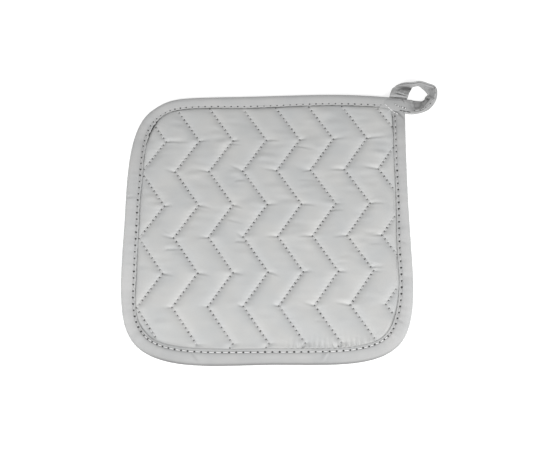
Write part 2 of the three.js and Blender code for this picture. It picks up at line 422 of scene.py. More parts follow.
rim_search = KDTree(len(RIM_AT))
for number, (rim_x, rim_y) in enumerate(RIM_AT):
    rim_search.insert((rim_x, rim_y, 0), number)
rim_search.balance()


def rim_ring(depth):
    """The rim moved inward by a depth, the same all round or one for each station."""
    return RIM_AT + RIM_INWARD * np.reshape(depth, (-1, 1))


def from_tape(x, y):
    """Distance in from the binding's inner edge, less than nothing over the tape and outside."""
    places = np.column_stack((np.ravel(x), np.ravel(y)))
    found = [rim_search.find((*place, 0))[1:] for place in places]
    nearest, distance = np.array(found).T
    nearest = nearest.astype(int)
    inward = np.einsum("ij,ij->i", places - RIM_AT[nearest], RIM_INWARD[nearest])
    return np.reshape(np.sign(inward) * distance - RIM_TAPE[nearest], np.shape(x))


def lift(x, y):
    """How far everything rises towards the square corner."""
    away = np.hypot(x - SQUARE_CORNER[0], y - SQUARE_CORNER[1])
    return LIFT * (1 - smoothstep(away, LIFT_FULL, LIFT_NONE))


def in_round_corner(x, y, full=6, none=15):
    """1 within one distance of the round corner beside the loop's edge, 0 beyond another."""
    return 1 - smoothstep(np.hypot(x - ROUND_CORNER[0], y - ROUND_CORNER[1]), full, none)


# The quilting.


def run_of(y):
    """How far a stitch line has swung to the right at y, its stitch count and if it runs up."""
    turn = np.mod((FIRST_TOP - y) / PERIOD, 1)
    up = turn >= DOWN
    share = np.where(up, (1 - turn) / (1 - DOWN), turn / DOWN)
    return SWING * share, STITCHES * share, up


def down_the_panel(rows):
    """Places y in even rows from one turn to the next, from the loop's edge down."""
    shares = np.arange(rows) / rows
    turns = np.concatenate((DOWN * shares, DOWN + (1 - DOWN) * shares))
    return (FIRST_TOP - PERIOD * (np.arange(PERIODS)[:, None] + turns)).ravel()


def turn_place(line, turn):
    """Where a stitch line turns, the turns counted from the loop's edge."""
    y = FIRST_TOP - turn // 2 * PERIOD - (DOWN * PERIOD if turn % 2 else 0)
    x = FIRST_LEFT + line * PITCH + (SWING if turn % 2 else 0)
    return x, y


def beside_stitches(x, y):
    """Signed distance from the nearest stitch line, distance along it to a needle hole, and the
    place among the lines, counted in pitches."""
    swing, count, up = run_of(y)
    share = (x - swing - FIRST_LEFT) / PITCH
    sideways = (share - np.round(share)) * PITCH
    height = np.where(up, 1 - DOWN, DOWN) * PERIOD
    length = np.hypot(SWING, height)
    along = (count - np.round(count)) * length / STITCHES
    return sideways * height / length, along, share


def trough(x, y, start, step, depth, width):
    """A soft crease from start, steep below and gentle above, between a swell and a low lip."""
    length = np.hypot(*step)
    along = ((x - start[0]) * step[0] + (y - start[1]) * step[1]) / length
    side = np.sign(step[0]) or 1
    across = side * ((y - start[1]) * step[0] - (x - start[0]) * step[1]) / length
    share = along / length
    taper = smoothstep(share, -0.12, 0.1) * (1 - smoothstep(share, 0.35, 1.1))
    reach = np.where(across > 0, 1.9 * width, 0.75 * width)
    dip = np.exp(-np.abs(across / reach) ** 1.4)
    lip = bell(across - 4 * width, 2 * width)
    swell = bell(across + 1.8 * width, 1.2 * width)
    return depth * taper * (0.25 * lip + 0.35 * swell - dip)


def creases(x, y):
    total = np.zeros(np.shape(x))
    for line, turn, length, rise, depth in TURN_CREASES:
        step = (length if turn % 2 else -length, rise)
        total += trough(x, y, turn_place(line, turn), step, depth, CREASE_WIDTH)
    for start_x, start_y, length, rise, depth in FREE_CREASES:
        total += trough(x, y, (start_x, start_y), (length, rise), depth, CREASE_WIDTH)
    return total


def gathers(x, within):
    """Height of the small gathers beside the binding, at x and at a distance from it."""
    low, high = GATHER_SPAN
    window = smoothstep(x, low, low + 12) * (1 - smoothstep(x, high - 30, high))
    wander = x + 0.5 * waves(x, within, 9, 30, seed=41)
    wave = np.sin(2 * np.pi * wander / GATHER_PITCH)
    return GATHER_DEPTH * window * wave * fading(within, GATHER_REACH)


def stitch_dips(across, along):
    """How far the thread draws the cloth down along a stitch line and at its needle holes."""
    beside = np.abs(across)
    sewn = 0.05 * fading(beside, 0.5)
    hole = 0.25 * bell(np.hypot(across, along), HOLE_REACH)
    puckers = 0.13 * np.cos(2 * np.pi * along / PUCKER) * fading(beside, 1.3)
    return sewn + hole + puckers


def slack(x, y):
    """How far the cloth lies uneven on the wadding, most of all towards the loop's edge."""
    amount = 0.05 + 0.09 * smoothstep(y, -80, 60)
    amount = amount * np.clip(0.6 + waves(x, y, 18, 45, seed=15), 0, 2)
    return amount * waves(0.4 * x, y, 6, 16, seed=12)


def edge_dip(x, y, within):
    """How far the panel dips beside the binding."""
    gap = EDGE_GAP + LOOP_EDGE_GAP * smoothstep(y, 55, 80)
    gap = gap * (1 + 0.5 * waves(x, y, 7, 25, seed=51))
    corner = in_round_corner(x, y)
    return (gap + CORNER_GAP * corner) * fading(within, 0.45 + 0.5 * corner)


def front_height(x, y):
    across, along, _ = beside_stitches(x, y)
    inside = from_tape(x, y)
    within = np.maximum(inside, 0)
    pillow = 1 - np.exp(-((np.abs(across) / FLANK) ** FLANK_POWER))
    fullness = 1 + 0.1 * waves(x, y, 14, 40, seed=11)
    height = STITCH_TOP + (CREST_TOP - STITCH_TOP) * pillow * fullness
    risen = 1 - fading(within, LOW_RISE + (RISE - LOW_RISE) * smoothstep(y, -85, -60))
    height = PANEL_TOP + (height - PANEL_TOP) * risen + lift(x, y)
    height -= stitch_dips(across, along) * smoothstep(inside, 0.3, 2)
    height += creases(x, y) * smoothstep(inside, 0, 2)
    height += gathers(x, within) * smoothstep(inside, -0.5, 0.5) * (y < -60)
    height += slack(x, y) * risen * smoothstep(np.abs(across), 0.5, 4)
    return height - edge_dip(x, y, within)


def back_height(x, y):
    _, _, share = beside_stitches(x, y)
    groove = 1 - smoothstep(np.abs(share - np.round(share)), 0, 0.25)
    return STITCH_BACK * groove + lift(x, y)


# Meshes.

tape_low, tape_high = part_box("binding")
METRES = (tape_high.x - tape_low.x) / np.ptp(RIM_AT[:, 0])
ORIGIN = np.array(tape_low) - METRES * np.array((*RIM_AT.min(axis=0), 0))


def placed(points):
    """Millimetres of this part to metres of the frame."""
    return ORIGIN + METRES * np.asarray(points)


def in_scene(name, data):
    made = bpy.data.objects.new(name, data)
    bpy.context.scene.collection.objects.link(made)
    return made


surfaces = {}  # each piece's surface in millimetres, to lay stitches on


def top_of(names, x, y):
    """Height of the uppermost of some pieces at each x, y."""
    above = 30
    tops = []
    for place in zip(np.ravel(x), np.ravel(y)):
        start = Vector((*place, above))
        hits = [surfaces[name].ray_cast(start, Vector((0, 0, -1)))[0] for name in names]
        tops.append(max((hit.z for hit in hits if hit), default=np.nan))
    return np.reshape(tops, np.shape(x))


def with_height(plan, height):
    return np.column_stack((plan, height))


def laid_on(names, plan):
    """Places of a plan, at the height of the pieces that are under them."""
    plan = np.array(plan, float)
    return with_height(plan, top_of(names, *plan.T))


def piece(name, points, faces, finish, node=None, slot="coated_cloth", fields=None):
    """A named mesh object that rides with the pot holder and wears a finish."""
    surfaces[name] = BVHTree.FromPolygons(points.tolist(), [tuple(face) for face in faces])
    mesh = bpy.data.meshes.new(name)
    mesh.from_pydata(placed(points).tolist(), [], [tuple(face) for face in faces])
    mesh.validate()
    mesh.shade_smooth()
    for label, values in (fields or {}).items():
        kind = "FLOAT_VECTOR" if np.ndim(values) == 2 else "FLOAT"
        field = mesh.attributes.new(label, kind, "POINT")
        flat = np.ravel(values).astype(np.float32)
        field.data.foreach_set("vector" if kind == "FLOAT_VECTOR" else "value", flat)
    mesh.materials.append(finish)
    made = in_scene(name, mesh)
    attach(made, "root")
    if node:
        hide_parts(node)
    return made


def ring_faces(rings, size, closed):
    """Quads between rings of equal size; a closed run also joins the last ring to the first."""
    ring = np.arange(rings if closed else rings - 1)[:, None]
    around = np.arange(size)[None]
    following, beside = (ring + 1) % rings, (around + 1) % size
    corners = (
        ring * size + around,
        ring * size + beside,
        following * size + beside,
        following * size + around,
    )
    return np.stack([corner.ravel() for corner in corners], axis=1)


def copied_faces(each, size, count):
    """The faces of a number of copies of one small mesh with so many points."""
    return [tuple(corner + size * k for corner in face) for k in range(count) for face in each]


def facing_out(points, faces):
    """The same faces, turned over if the closed mesh is inside out."""
    fan = [face[[0, k, k + 1]] for face in map(np.asarray, faces) for k in range(1, len(face) - 1)]
    a, b, c = np.asarray(points)[np.array(fan)].transpose(1, 0, 2)
    volume = np.einsum("ij,ij->i", a, np.cross(b, c)).sum()
    return faces if volume > 0 else [tuple(face)[::-1] for face in faces]


# The panel.


def quilt_points(columns, rows_a_stitch):
    """Mesh points inside the outermost ring, in rows and columns that follow the stitches."""
    offsets = sorted({sign * column for column in columns for sign in (-1, 1)})[:-1]
    starts = FIRST_LEFT + PITCH * np.array(LINES)[:, None] + np.array(offsets)
    rows = down_the_panel(STITCHES * rows_a_stitch)
    y, start = np.meshgrid(rows, starts.ravel(), indexing="ij")
    x = start + run_of(y)[0]
    kept = from_tape(x, y) > SHOULDER + POINTS_APART
    return np.stack((x[kept], y[kept]), axis=1)


def skin(edge, inner):
    """Triangles over the points of a ring and those inside it, the ring's points first."""
    plan = np.vstack((edge, inner))
    bounds = [(k, (k + 1) % len(edge)) for k in range(len(edge))]
    corners = [Vector(point) for point in plan.tolist()]
    inside_only, nearest = 1, 1e-5
    _, _, faces, sources, _, _ = delaunay_2d_cdt(corners, bounds, [], inside_only, nearest)
    source = np.array([found[0] for found in sources])
    return plan, [tuple(source[list(face)]) for face in faces]


def panel_rim():
    """The rings from the front's pillows round the pressed rim to the back's, with the shade painted on
    them.
    """
    shade, reach = eased(RIM_RUN, EDGE_SHADES)
    rings = []
    for depth in RIM_RINGS:
        plan = rim_ring(RIM_TAPE + depth)
        ring = with_height(plan, front_height(*plan.T))
        rings.append((ring, shade * bell(depth, reach)))
    under_tape, mouth = rim_ring(RIM_TAPE - TUCK), rim_ring(RIM_TAPE + MOUTH)
    end = rim_ring(FOLD + GAP)
    flat = ((under_tape, PANEL_TOP), (end, PANEL_TOP), (end, PANEL_BOTTOM), (mouth, PANEL_BOTTOM))
    for plan, level in flat:
        rings.append((with_height(plan, level + lift(*plan.T)), 0 * shade))
    return rings


def quilted_panel(finish):
    """The quilted cloth, pillows in front and behind, its rim pressed flat inside the binding."""
    edge = rim_ring(RIM_TAPE + SHOULDER)
    front, front_faces = skin(edge, quilt_points(COLUMNS, ROWS_A_STITCH))
    back, back_faces = skin(edge, quilt_points(BACK_COLUMNS, BACK_ROWS_A_STITCH))
    rings, shades = zip(*panel_rim())
    size = len(edge)
    first = len(front) + len(back)
    loops = [first + k * size + np.arange(size) for k in range(len(rings))]
    loops = [np.arange(size), *loops, len(front) + np.arange(size)]
    faces = front_faces + [tuple(np.array(face)[::-1] + len(front)) for face in back_faces]
    beside = np.roll(np.arange(size), -1)
    for upper, lower in zip(loops, loops[1:]):
        faces += list(zip(upper, upper[beside], lower[beside], lower))
    front = with_height(front, front_height(*front.T))
    back = with_height(back, back_height(*back.T))
    points = np.vstack((front, back, *rings))
    across, _, _ = beside_stitches(points[:, 0], points[:, 1])
    # The seam field: slightly darker along the stitch lines, and painted shade in the gap at the tape.
    seam = 0.2 * fading(np.abs(across), 1.2) + np.concatenate((np.zeros(first), *shades))
    fields = {"cloth": points * (1, 1, 0), "seam": seam}
    faces = facing_out(points, faces)
    made = piece("quilted_panel_cloth", points, faces, finish, "quilted_panel", fields=fields)


# The binding.


def smooth_section(keys, steps):
    """Points on a smooth closed curve through each station's key points, steps to a key."""
    stations, count, axes = keys.shape
    before, after, later = (np.roll(keys, shift, axis=1) for shift in (1, -1, -2))
    pieces = [on_curve(before, keys, after, later, t) for t in np.arange(steps) / steps]
    return np.stack(pieces, axis=2).reshape(stations, count * steps, axes)


def tape_section(tape, stitch):
    """The tape's section at each station: distances in from the rim, and heights."""
    circle = 2 * np.pi * RIM_RUN / RIM_LENGTH
    on_circle = 120 * np.cos(circle), 120 * np.sin(circle)  # there the waves close on themselves
    loose = waves(*on_circle, 9, 40, seed=21)
    fine = waves(*on_circle, 4, 9, seed=22)
    pull = np.cos(round(RIM_LENGTH / TOPSTITCH) * circle)
    ruffle = in_round_corner(*RIM_AT.T, full=14, none=28)
    lip = tape + 0.12 * loose - (0.1 + 0.2 * ruffle) * pull + 0.25 * ruffle * fine
    puff = 0.12 * loose + 0.06 * fine
    far = smoothstep(RIM_AT[:, 1], 50, 85)
    front = (
        (lip - 0.3, 3.5),
        (lip, 3.5),
        (lip + 0.02, 3.75),
        (lip - 0.25, 3.98 + 0.4 * puff),
        (lip - 0.5 * stitch, 4.12 + 0.4 * puff - 0.03 * pull),
        (tape - stitch, TAPE_SEAM - 0.08 * pull),
        (tape - stitch - 0.7, 4.66 + puff),
        (tape - stitch - 1.6, 4.95 + puff),
        (0.5 * tape, 5.2 + puff),
        (0.3 * tape, 5.28 - 0.1 * far + 0.5 * puff),
    )
    fold = (
        (0.12 * tape, 5.02 - 0.3 * far + 0.5 * puff),
        (0.03 * tape, 4.35 - 0.3 * far),
        (0.03 * fine, 3.3 - 0.2 * far),
        (0.03 * fine, 2.1),
        (0.02 * tape, 1.1),
        (0.07 * tape, 0.3),
    )
    back = (
        (0.25 * tape, 0.03),
        (0.5 * tape, 0.02),
        (tape - stitch, 0.2),
        (tape - 0.4, 0.03),
        (tape, 0.4),
        (tape - 0.3, 0.9),
    )
    lining = (
        (0.6 * tape, TAPE),
        (FOLD + 0.6, TAPE),
        (FOLD, TAPE + 0.5),
        (FOLD, 3.4),
        (FOLD + 0.6, 3.88),
        (0.6 * tape, 3.88),
    )
    pairs = front + fold + back + lining
    keys = np.array([np.broadcast_arrays(*pair, RIM_RUN)[:2] for pair in pairs])
    curve = smooth_section(keys.transpose(2, 0, 1), 2)
    return curve[..., 0], np.maximum(curve[..., 1], 0.01)


def tape_folds(x, y):
    """How far the creases that cross the tape move its front."""
    total = 0
    for start_x, start_y, end_x, end_y, depth in TAPE_CREASES:
        step = (end_x - start_x, end_y - start_y)
        total = total + trough(x, y, (start_x, start_y), step, depth, TAPE_CREASE_WIDTH)
    return total


def tape_painted_shade(inward, height, to_seam):
    """How dark the tape is painted: shade from the table along the rim, in the groove of its
    topstitching, and on its outer fold where it turns under, most along the edge opposite the loop.
    """
    folded, within, sewn = [column[:, None] for column in eased(RIM_RUN, TAPE_PAINTED_SHADE)]
    painted_shade = within + (folded - within) * (1 - smoothstep(inward, 1.5, 6))
    # painted shade in the groove along the topstitching
    groove = fading(np.abs(inward - to_seam), 1.2) * (height > 2)
    # painted shade on the outer fold, where it turns under towards the table: full along the edge
    # opposite the loop, a little along the loop's edge
    painted_fold_shade = 1.2 * bell(inward, 1) + 0.9 * bell(inward, 3.4)
    near = np.maximum(RIM_INWARD[:, 1:], -0.3 * RIM_INWARD[:, 1:])
    return painted_shade + sewn * groove + painted_fold_shade * near**2


def binding(finish):
    """The tape folded over the rim, pressed down along its topstitching."""
    inward, height = tape_section(RIM_TAPE, RIM_STITCH)
    plan = RIM_AT[:, None] + RIM_INWARD[:, None] * inward[..., None]
    x, y = plan[..., 0], plan[..., 1]
    folds = smoothstep(height, *TAPE_FRONT) * tape_folds(x, y)
    height = height + folds
    # The seam field carries the tape's painted shade, and painted shade in the creases that cross it.
    seam = tape_painted_shade(inward, height, (RIM_TAPE - RIM_STITCH)[:, None])
    seam = seam + np.clip(-0.9 * folds, 0, 1)
    points = np.stack((x, y, height + lift(x, y)), axis=-1).reshape(-1, 3)
    faces = facing_out(points, ring_faces(*x.shape, True).tolist())
    run = np.broadcast_to(RIM_RUN[:, None], x.shape)
    cloth = np.stack((run, inward, 0 * x), axis=-1).reshape(-1, 3)
    fields = {"cloth": cloth, "seam": seam.ravel()}
    made = piece("binding_tape", points, faces, finish, "binding", "binding_tape", fields)


# Stitches: a thread over the cloth from hole to hole, and at the hole that the needle left a dark cup,
# painted shade.

# Radii of the threads and of the dark cups of painted shade at the needle holes.
QUILT_THREAD = 0.25
QUILT_THREAD_BACK = 0.18
QUILT_HOLE = 0.6
TAPE_THREAD = 0.27
TAPE_THREAD_LOW = 0.3
TAPE_THREAD_BACK = 0.1
TAPE_HOLE = 0.7
TAPE_HOLE_FAR = 0.5  # towards the loop's edge
CORNER_THREAD = 0.32
LOOP_THREAD = 0.22
CORNER_HOLE = 0.4

THREAD_SIDES = 6
# A thread's rings: share of the way from hole to hole, and of the thread's radius.
THREAD_RINGS = ((0.06, 0.4), (0.16, 0.85), (0.34, 1), (0.66, 1), (0.84, 0.85), (0.94, 0.4))
CUP_SIDES = 8
# A needle hole's rings: share of its radius, and height over the cloth.
CUP_RINGS = ((0, 0.08), (0.55, 0.08), (1, 0.06), (0.8, -0.2))


def quilting_holes():
    """Runs of needle holes, one for each stitch line, from the loop's edge down."""
    y = down_the_panel(STITCHES)
    swing = run_of(y)[0]
    for line in LINES:
        x = FIRST_LEFT + line * PITCH + swing
        kept = from_tape(x, y) > 0.5
        if kept.sum() > 1:
            yield np.stack((x[kept], y[kept]), axis=1)


def threads(starts, ends, radius, bow):
    """One closed thread from each start to its end, thin at both ends, bowed up in its middle."""
    along = unit(ends - starts)
    up = np.array((0, 0, 1.0))
    side = unit(np.cross(along, up))
    over = np.cross(side, along)
    rise = np.reshape(bow, (-1, 1)) * over
    rings = []
    for share, size in THREAD_RINGS:
        centre = starts + (ends - starts) * share + rise * np.sin(np.pi * share) ** 0.6
        for angle in 2 * np.pi * np.arange(THREAD_SIDES) / THREAD_SIDES:
            spoke = np.cos(angle) * side + np.sin(angle) * over
            rings.append(centre + radius * size * spoke)
    points = np.stack(rings, axis=1)
    each = ring_faces(len(THREAD_RINGS), THREAD_SIDES, False).tolist()
    each += [list(range(THREAD_SIDES))[::-1], list(range(len(rings)))[-THREAD_SIDES:]]
    return points.reshape(-1, 3), copied_faces(each, len(rings), len(starts))


def cups(plan, surface, radius):
    """Small closed cups that line the cloth at each needle hole."""
    angles = 2 * np.pi * np.arange(CUP_SIDES) / CUP_SIDES
    circle = np.stack((np.cos(angles), np.sin(angles)), axis=1)
    sizes = radius * np.random.default_rng(5).uniform(0.8, 1.15, len(plan))
    rings = []
    for share, clear in CUP_RINGS:
        ring = plan[:, None] + sizes[:, None, None] * share * circle
        rings.append(np.dstack((ring, surface(ring[..., 0], ring[..., 1]) + clear)))
    points = np.stack(rings, axis=1)
    each = ring_faces(len(CUP_RINGS), CUP_SIDES, True).tolist()
    return points.reshape(-1, 3), copied_faces(each, len(CUP_RINGS) * CUP_SIDES, len(plan))


def quilting(thread_finish, hole_shade_finish):
    lines = list(quilting_holes())
    starts = np.vstack([plan[:-1] for plan in lines])
    ends = np.vstack([plan[1:] for plan in lines])
    over = 0.1  # from the cloth to the middle of a thread at its holes
    middle = front_height(*(starts + ends).T / 2) + 0.12
    low, high = front_height(*starts.T) + over, front_height(*ends.T) + over
    bow = middle - (low + high) / 2
    points, faces = threads(with_height(starts, low), with_height(ends, high), QUILT_THREAD, bow)
    piece("quilting_thread", points, faces, thread_finish)
    starts = with_height(starts, back_height(*starts.T) - over)
    ends = with_height(ends, back_height(*ends.T) - over)
    points, faces = threads(starts, ends, QUILT_THREAD_BACK, bow=0)
    piece("quilting_thread_back", points, faces, thread_finish)
    # dark cups of painted shade at the needle holes
    points, faces = cups(np.vstack(lines), front_height, QUILT_HOLE)
    piece("quilting_holes", points, faces, hole_shade_finish)


def on_tape(name, finish, shape):
    """A piece of stitching on the tape."""
    piece(name, *shape, finish, slot="binding_tape")


def tape_top(x, y):
    return top_of(("binding_tape",), x, y)


def topstitching(thread_finish, highlight_finish, hole_shade_finish):
    last = RIM_LENGTH - STITCHES_TO
    run = np.linspace(STITCHES_FROM, last, round((last - STITCHES_FROM) / TOPSTITCH) + 1)
    line = rim_ring(RIM_TAPE - RIM_STITCH)
    x, y = [np.interp(run, RIM_RUN, column, period=RIM_LENGTH) for column in line.T]
    holes = np.column_stack((x, y, tape_top(x, y) - 0.1))
    clear = 0.07 * (holes[1:] - holes[:-1])
    starts, ends = holes[:-1] + clear, holes[1:] - clear
    low = starts[:, 1] < LOW_STITCHES
    on_tape("binding_thread", thread_finish, threads(starts[~low], ends[~low], TAPE_THREAD, bow=0.25))
    # the paler thread on these stitches is a painted highlight
    on_tape("binding_thread_painted_highlight", highlight_finish, threads(starts[low], ends[low], TAPE_THREAD_LOW, bow=0.3))
    radii = TAPE_HOLE + (TAPE_HOLE_FAR - TAPE_HOLE) * smoothstep(y, 30, 85)
    # dark cups of painted shade at the needle holes
    on_tape("binding_hole_shades", hole_shade_finish, cups(holes[:, :2], tape_top, radii))
    back = with_height(holes[:, :2], 0.12 + lift(x, y))
    on_tape("binding_thread_back", thread_finish, threads(back[:-1], back[1:], TAPE_THREAD_BACK, bow=0))


def corner_stitching(thread_finish, loop_finish, hole_shade_finish):
    """The stitches that hold the loop, and those that run along it, laid on what is under them."""
    under = ("binding_tape", "hanging_loop_tape", "quilted_panel_cloth")
    starts, ends = [laid_on(under, plan) for plan in np.hsplit(np.array(CORNER_STITCHES), 2)]
    on_tape("corner_thread", thread_finish, threads(starts, ends, CORNER_THREAD, bow=0.25))
    seam = laid_on(("hanging_loop_tape",), loop_seam())
    seam = seam[~np.isnan(seam[:, 2])]
    on_tape("loop_thread", loop_finish, threads(seam[:-1], seam[1:], LOOP_THREAD, bow=0.05))
    apart = slice(LINE_STITCHES, None)
    holes = np.vstack((laid_on(under, CORNER_HOLES), seam, starts[apart], ends[apart]))
    # short dark strokes of painted shade at the needle holes
    reach = np.array((0.25, 0.1, 0))
    on_tape("corner_hole_shades", hole_shade_finish, threads(holes - reach, holes + reach, CORNER_HOLE, bow=0.05))
    # dark strokes of painted shadow under the loop's edge where it stands open
    open_edge_shadows = [laid_on(under, plan) for plan in np.hsplit(np.array(CORNER_PAINTED_SHADOWS), 2)]
    on_tape("corner_painted_shadows", hole_shade_finish, threads(*open_edge_shadows, CORNER_HOLE, bow=0.1))


# The hanging loop, a folded tape, as stations along it: a place on its edge beside the hole, one
# on its outer edge, and its thickness.
LOOP = (
    ((84, 95, 5), (84, 87.3, 5.2), 0.9),
    ((88.5, 94.8, 5.1), (88.3, 86.7, 5.8), 0.9),
    ((93.6, 94.4, 5.2), (93.6, 84.5, 6.3), 1),
    ((98.8, 94, 5.4), (98.6, 83.3, 6.9), 1.3),
    ((103.1, 93.5, 5.4), (103.1, 82.2, 6.2), 2),
    ((107.6, 93.9, 3.7), (107, 82.2, 5), 2),
    ((112.3, 94, 2), (111.2, 82.8, 4.6), 2),
    ((117, 94.4, 1.2), (116.2, 84.2, 5), 2),
    ((118.6, 97, 1.2), (120.8, 86.7, 6), 2),
    ((120.8, 99.2, 1.2), (124.2, 91.2, 9), 2),
    ((119.5, 101.4, 1.2), (125.6, 97.3, 9.4), 2),
    ((117.2, 104.2, 1.2), (125, 102.1, 8.3), 2),
    ((115.3, 106.6, 1.2), (119.6, 103.2, 10.2), 2),
    ((112.6, 107.5, 1.2), (114, 104.6, 11), 2),
    ((110.4, 106.7, 1.2), (108.7, 103.9, 11), 2),
    ((108.7, 103.8, 1.2), (101.2, 105.3, 7.6), 2),
    ((107.3, 101, 2), (95.2, 104, 4.2), 1.9),
    ((105.8, 97, 4.9), (92.4, 98.7, 4.9), 1.5),
    ((105.2, 95.5, 4.8), (92, 96.9, 4.8), 1.2),
    ((105.1, 95.3, 1.5), (91.9, 96.7, 1.5), 0.8),
    ((103.4, 88.4, 0.8), (90.8, 90.6, 0.8), 1.4),
)
LOOP_STEPS = 12  # mesh steps between two stations
LOOP_SEAM = 0.83  # share of the tape's width at which its topstitching runs
LOOP_HOLES = (26, 52, 4.2)  # where its needle holes begin and end along the loop, and their pitch
LOOP_FOLD = 0.12  # share of the width within which the tape rounds into its fold
LOOP_SLIT = ((1, 0.12), (0.75, 0.08), (0.5, 0.06), (0.2, 0.05))  # share of width, half opening
LOOP_FLOOR = 0.42  # share of the tape's thickness that its creases may take away

# Where the loop starts it lies over the corner: how far it stands up there, by share of its width.
CORNER_CROWN = ((0, 0.1, 0.3, 0.5, 0.7, 0.85, 1), (0, 1.4, 1.9, 1.6, 1.1, 0.6, 0))
CORNER_SPAN = ((0, 1, 2, 3.4, 5), (0.45, 0.7, 1, 1, 0))  # and how much of that, by station

# Creases of the loop: from station, share of width to station, share, with depth and width.
LOOP_CREASES = (
    (3.25, -0.1, 3.8, 0.45, 0.7, 0.5),
    (5.05, 0, 5.45, 0.7, -0.5, 0.6),
    (6.95, 0, 6.55, 0.65, -0.4, 0.6),
    (7.3, -0.05, 8.9, 0.3, 0.7, 1.3),
    (8.3, 0.35, 8.8, 0.75, 0.9, 0.8),
    (9, 0.1, 13, 0.14, 0.35, 0.5),
    (9.2, 0.45, 12.5, 0.4, 0.35, 0.6),
    (9.5, 0.75, 12.5, 0.7, 0.35, 0.6),
    (11, 0.2, 12.6, 0.5, 0.3, 0.5),
    (14.8, -0.1, 16.2, 1, 1.6, 1.9),
    (16.72, 0.68, 17.6, -0.35, 1.3, 0.5),
)
# Painted shade on the loop, in its hollows and on its sides turned from the light: station, beside the
# hole, and at its outer edge.
LOOP_PAINTED_SHADE = (
    (0, 0.2, 0.25),
    (3, 0.3, 0.3),
    (4.6, 0.35, 0.3),
    (5.4, 0.65, 0.5),
    (6.6, 0.7, 0.4),
    (7.2, 0.5, 0.5),
    (8.2, 0.45, 0.5),
    (9, 0.2, 0.3),
    (10, 0.1, 0.15),
    (11, 0.3, 0.35),
    (13, 0.4, 0.4),
    (14.5, 0.4, 0.35),
    (16, 0.5, 0.45),
    (17, 0.3, 0.3),
    (17.7, 0.35, 0.35),
    (18.4, 0, 0),
    (20, 0, 0),
)
LOOP_SCALE = (5, 11)  # millimetres to a station and to the tape's width

# Threads of the stitches that hold the loop, from x, y to x, y, and more needle holes beside them, dark
# with painted shade.
CORNER_STITCHES = (
    (87.4, 89.6, 89.5, 87.9),
    (89.5, 87.5, 91.3, 85.8),
    (91.2, 85.7, 93.3, 84.2),
    (93.2, 84.1, 95.1, 82.4),
    (95.1, 82.6, 97, 80.9),
    (95.1, 88.7, 96.2, 87.9),
    (96.5, 87.5, 97.9, 86.5),
    (99.7, 86.2, 101.1, 85.2),
    (101.9, 85.6, 102.9, 85),
)
LINE_STITCHES = 5  # the first stitches make one line, with no holes to be seen between them
CORNER_HOLES = ((97.2, 87), (101.5, 85.4))
# Painted shadow under the loop's edge where it stands open over the tape, from x, y to x, y.
CORNER_PAINTED_SHADOWS = ((98, 83.9, 100.4, 83.3), (100.3, 83.3, 102.8, 82.8), (102.8, 82.9, 106.4, 82.5))


def along_rail(rail, steps):
    """Points on a smooth open curve through a rail's places."""
    padded_rail = np.vstack((2 * rail[0] - rail[1], rail, 2 * rail[-1] - rail[-2]))
    made = []
    for k in range(len(rail) - 1):
        made += [on_curve(*padded_rail[k : k + 4], t) for t in np.arange(steps) / steps]
    made.append(rail[-1])
    return np.array(made)


def loop_rails():
    """The loop's two edges and thickness at every mesh station."""
    columns = zip(*LOOP)
    return [along_rail(np.reshape(column, (len(LOOP), -1)), LOOP_STEPS) for column in columns]


def loop_seam():
    """Places of the loop's needle holes, seen from above."""
    hole, outer, _ = loop_rails()
    line = (hole + (outer - hole) * LOOP_SEAM)[:, :2]
    places = np.arange(*LOOP_HOLES)
    return np.column_stack([np.interp(places, run_along(line), column) for column in line.T])


def loop_folds(station, share):
    """How far the creases move the seen side of the loop."""
    x, y = station * LOOP_SCALE[0], share * LOOP_SCALE[1]
    total = 0
    for from_x, from_y, to_x, to_y, depth, width in LOOP_CREASES:
        start = np.array((from_x, from_y)) * LOOP_SCALE
        step = np.array((to_x, to_y)) * LOOP_SCALE - start
        total = total + trough(x, y, start, step, depth, width)
    return total


def loop_relief(station, share):
    """How far the seen side of the loop stands out of a plain fold."""
    crown = np.interp(station, *CORNER_SPAN) * np.interp(share, *CORNER_CROWN)
    # A hollow with slanting ends, just outside the corner.
    hollow = smoothstep(station - 5.05 - 0.55 * share, 0, 0.3)
    hollow = hollow * (1 - smoothstep(station + 0.6 * share, 6.75, 7.05))
    hollow = hollow * (1 - smoothstep(share, 0.5, 0.75))
    # The turned-in hem along the outer edge.
    hem = smoothstep(share, 0.6, 0.8) * smoothstep(station, 4, 5) * (station < 16)
    x, y = station * LOOP_SCALE[0], share * LOOP_SCALE[1]
    uneven = waves(0.2 * x, y, 1.6, 5, seed=31) * smoothstep(station, 4, 6)
    # A flap that swells where the tape turns on its edge.
    turned = smoothstep(station, 6.7, 7.3) * (1 - smoothstep(station, 8.6, 9.4))
    turned = turned * smoothstep(share, 0.12, 0.4) * (1 - smoothstep(share, 0.75, 1))
    relief = crown - 0.7 * hollow + 0.3 * hem + 0.2 * uneven + 1.2 * turned
    return relief + loop_folds(station, share)


def loop_section():
    """The folded tape's section round its seen side, its hidden one, and the slit between its two
    edges: share of the width, half thicknesses to the seen side, and 1 where relief is added."""
    shares = np.concatenate((np.linspace(1, 0.15, 22), (0.1, 0.06, 0.02, 0)))
    bulge = np.sqrt(1 - (1 - np.clip(shares / LOOP_FOLD, 0, 1)) ** 2)
    seen = [(share, size, 1) for share, size in zip(shares, bulge)]
    hidden = [(share, -size, 0) for share, size in zip(shares[-2::-3], bulge[-2::-3])]
    slit = [(share, -opening, 0) for share, opening in LOOP_SLIT]
    slit += [(share, opening, 0) for share, opening in LOOP_SLIT[::-1]]
    return seen + hidden + slit


